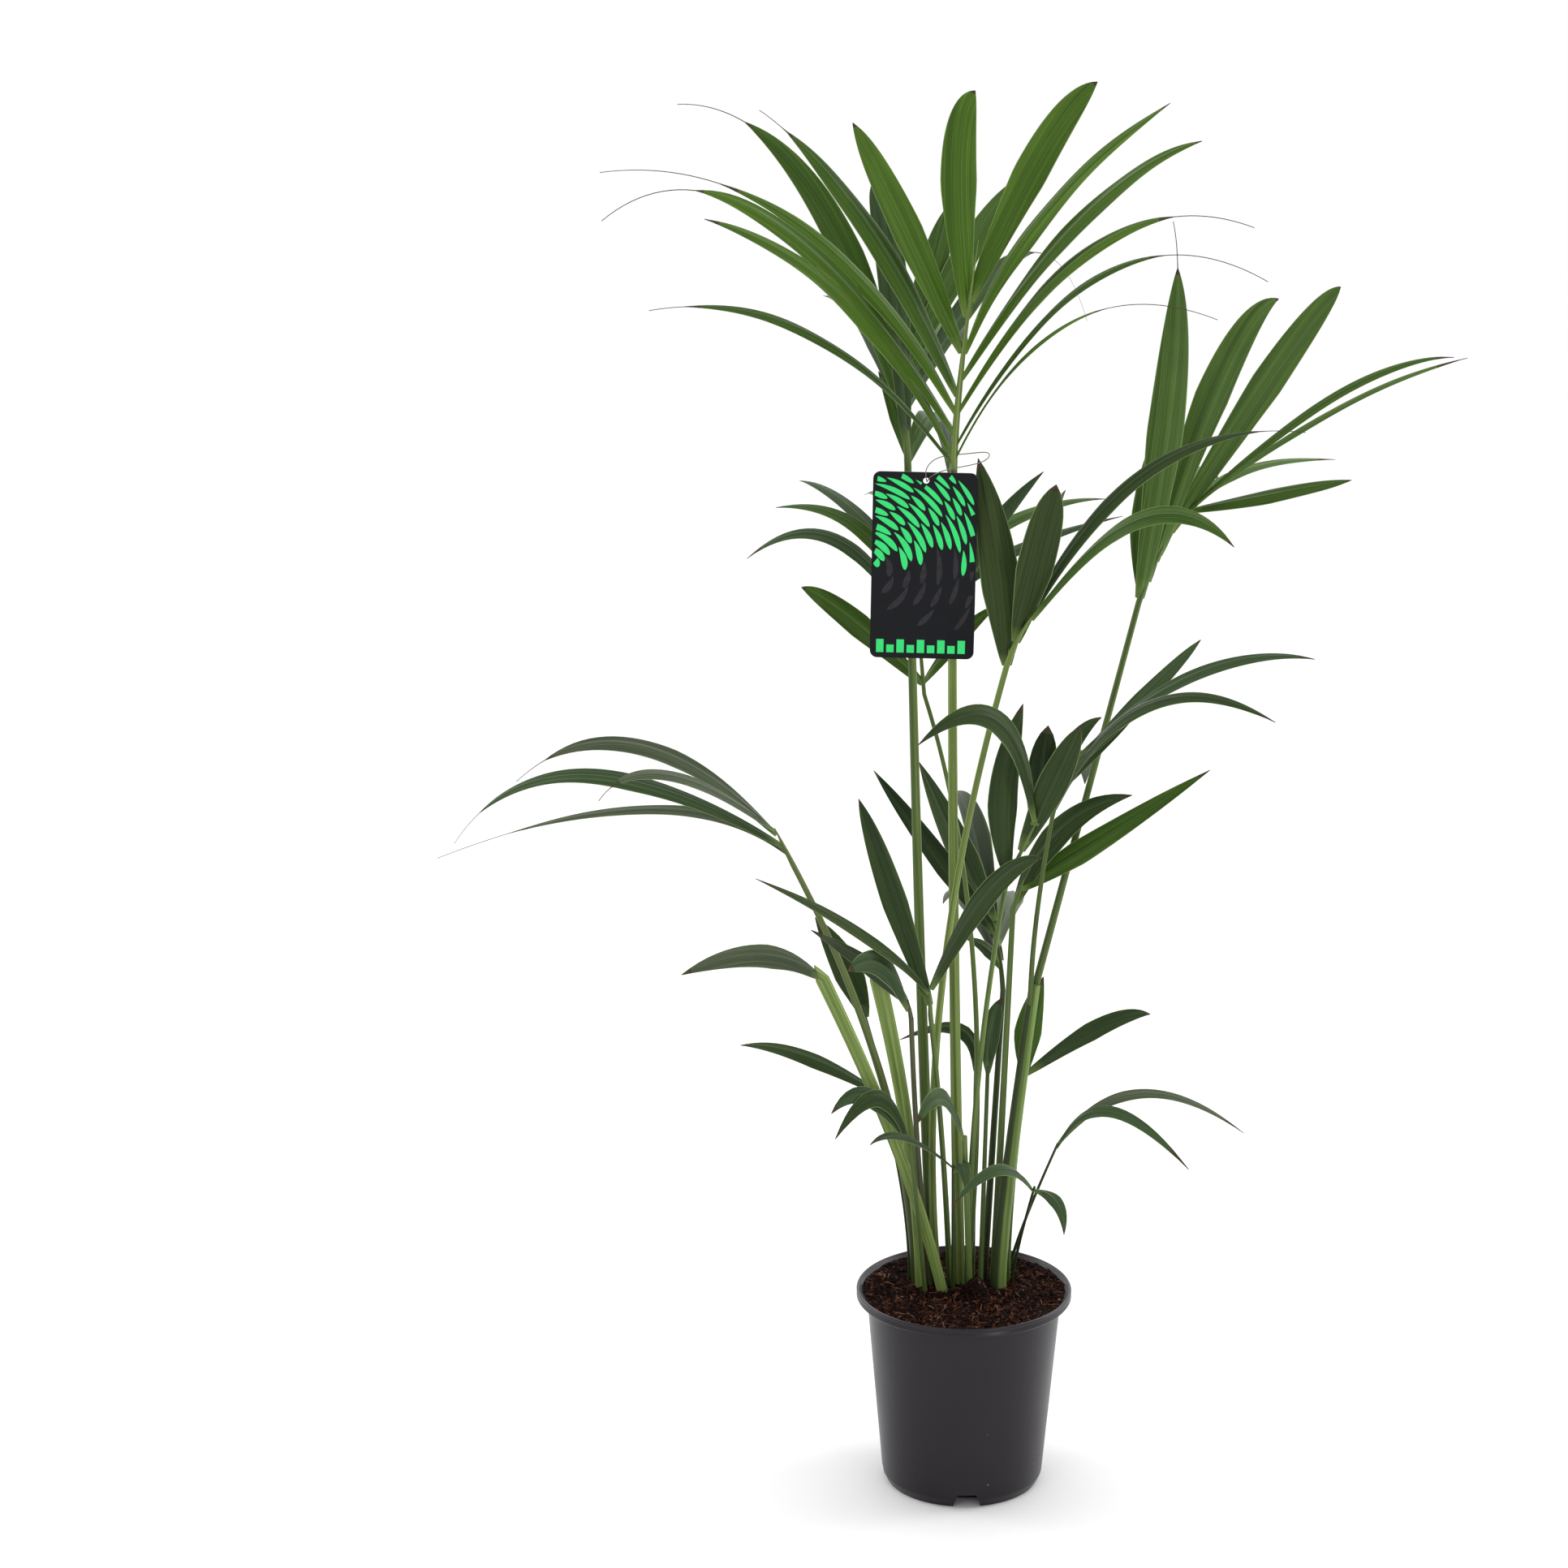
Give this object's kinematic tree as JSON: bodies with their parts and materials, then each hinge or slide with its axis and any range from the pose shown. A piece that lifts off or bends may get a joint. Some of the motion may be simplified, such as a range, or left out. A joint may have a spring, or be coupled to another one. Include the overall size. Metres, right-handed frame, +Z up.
{
  "type": "kentia palm",
  "caption": "Young kentia palm in a round black nursery pot: slender stalks rise from the compost and carry arching green fronds, with a small hanging card label.",
  "frame": {"origin": "Centre of the flat underside of the pot, on its axis.", "axes": "+Z up along the pot's axis, +X to the right and -Y towards the viewer, where the label hangs."},
  "size_m": [0.8409, 0.5701, 1.2085],
  "materials": {
    "pot_plastic": "satin charcoal moulded plastic",
    "compost": "moist dark red-brown coir with loose fibres",
    "label_face": "semi-gloss black card with a green design",
    "wire": "thin dull wire",
    "stalk": "smooth light green, finely ribbed",
    "sheath": "ribbed olive green with darker fibrous edges",
    "leaf_crown": "satin mid green with parallel veins",
    "leaf_shade": "satin dark green with parallel veins"
  },
  "bodies": {
    "root": {"crown_front_frond": "leaf_crown", "crown_front_stalk": "stalk", "crown_rear_frond": "leaf_shade", "crown_rear_stalk": "stalk", "cut_stalk": "stalk", "inner_front_frond": "leaf_shade", "inner_front_stalk": "stalk", "label_card": "label_face", "label_rear_frond": "leaf_shade", "label_rear_stalk": "stalk", "label_wire": "wire", "left_arching_frond": "leaf_shade", "left_arching_stalk": "stalk", "left_broad_frond": "leaf_shade", "left_broad_stalk": "stalk", "left_pair_frond": "leaf_shade", "left_pair_stalk": "stalk", "low_centre_blade_leaf": "leaf_shade", "low_centre_fork_leaf": "leaf_shade", "low_centre_rear_leaf": "leaf_shade", "low_centre_short_leaf": "leaf_shade", "low_left_rear_leaf": "leaf_shade", "low_left_short_leaf": "leaf_shade", "low_left_thin_leaf": "leaf_shade", "low_right_fork_leaf": "leaf_shade", "low_right_pair_leaf": "leaf_shade", "low_right_rear_leaf": "leaf_shade", "low_right_single_leaf": "leaf_shade", "middle_right_frond": "leaf_shade", "middle_right_stalk": "stalk", "pair_front_frond": "leaf_shade", "pair_front_stalk": "stalk", "pot": "pot_plastic", "rear_fan_frond": "leaf_shade", "rear_fan_stalk": "stalk", "right_inner_frond": "leaf_shade", "right_inner_stalk": "stalk", "right_low_frond": "leaf_shade", "right_low_stalk": "stalk", "right_stem": "sheath", "right_tall_frond": "leaf_crown", "right_tall_stalk": "stalk", "soil": "compost"}
  },
  "joints": []
}
